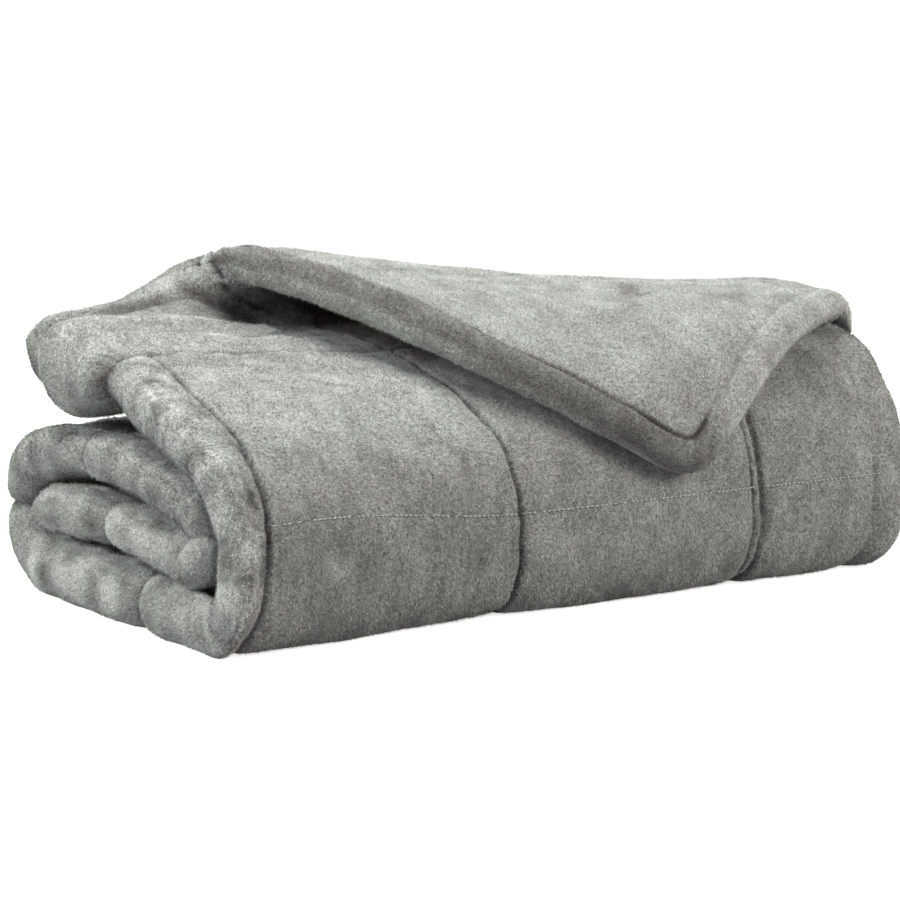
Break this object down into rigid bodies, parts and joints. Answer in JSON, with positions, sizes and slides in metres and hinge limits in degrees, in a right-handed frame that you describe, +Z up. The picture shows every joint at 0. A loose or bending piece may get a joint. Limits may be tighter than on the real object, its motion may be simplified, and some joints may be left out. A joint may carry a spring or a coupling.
{
  "type": "bedspread",
  "caption": "Thick quilted plush bedspread wound into a loose roll, with its free corner folded back over the top and the front.",
  "frame": {"origin": "middle of the bounding box, on the surface that the roll rests on", "axes": "+X along the roll, away from the end that shows its spiral, -Y towards the front over which the folded corner hangs, +Z up"},
  "size_m": [0.6362, 0.4106, 0.2642],
  "materials": {
    "plush": "short crushed pile, matte with a soft pale edge"
  },
  "bodies": {
    "root": {"bedspread": "plush"}
  },
  "joints": []
}
